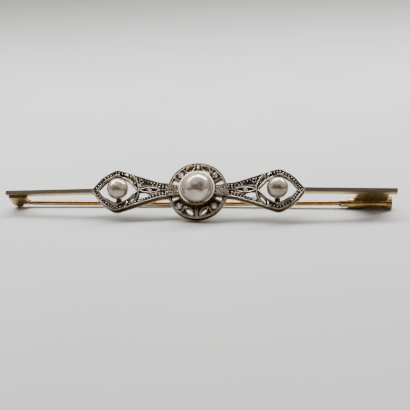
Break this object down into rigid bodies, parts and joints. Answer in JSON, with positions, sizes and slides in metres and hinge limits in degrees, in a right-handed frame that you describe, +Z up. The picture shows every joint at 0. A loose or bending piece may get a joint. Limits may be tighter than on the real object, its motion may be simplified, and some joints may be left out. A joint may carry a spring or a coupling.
{
  "type": "bar brooch",
  "caption": "Slim bar brooch with a round pierced rosette, kite panels, pearls and small stones, a hinged pin behind it and a tube catch with a sliding sleeve.",
  "frame": {"origin": "on the level surface that the brooch rests on, under the middle of the box that holds it", "axes": "+X along the bar from the hinge to the catch, +Z up, the face turned up and towards -Y; the brooch rests on the rosette's lower edge, the catch's knob and the hinge's foot"},
  "size_m": [0.07, 0.0094, 0.0087],
  "materials": {
    "gold": "polished, warm yellow, coppery on the pin",
    "platinum": "polished ridges, dark in the recesses",
    "pearl": "nacre with a soft lustre",
    "stone": "clear, faceted"
  },
  "bodies": {
    "root": {"bar_left": "gold", "bar_right": "gold", "bar_left_facing": "platinum", "bar_right_facing": "platinum", "kite_left": "platinum", "kite_right": "platinum", "kite_left_back": "gold", "kite_right_back": "gold", "rosette": "platinum", "rosette_back": "gold", "bezel": "platinum", "pearl_cup": "gold", "pearl_centre": "pearl", "pearl_left": "pearl", "pearl_right": "pearl", "corner_stone_1": "stone", "corner_stone_2": "stone", "corner_stone_3": "stone", "corner_stone_4": "stone", "leaf_stone_left": "stone", "leaf_stone_right": "stone", "hinge_rivet": "gold"},
    "pin": {"pin_stem": "gold"},
    "sleeve": {"catch_sleeve": "gold"}
  },
  "joints": [
    {"name": "pin_hinge", "type": "hinge", "parent": "root", "child": "pin", "pos_m": [-0.03375, 0.00243, 0.00111], "axis": [-0.0111, 0.6715, 0.7409], "range_deg": [0, 80]},
    {"name": "sleeve_slide", "type": "slide", "parent": "root", "child": "sleeve", "axis": [0.9999, 0, 0.015], "range_m": [0, 0.0045]}
  ]
}
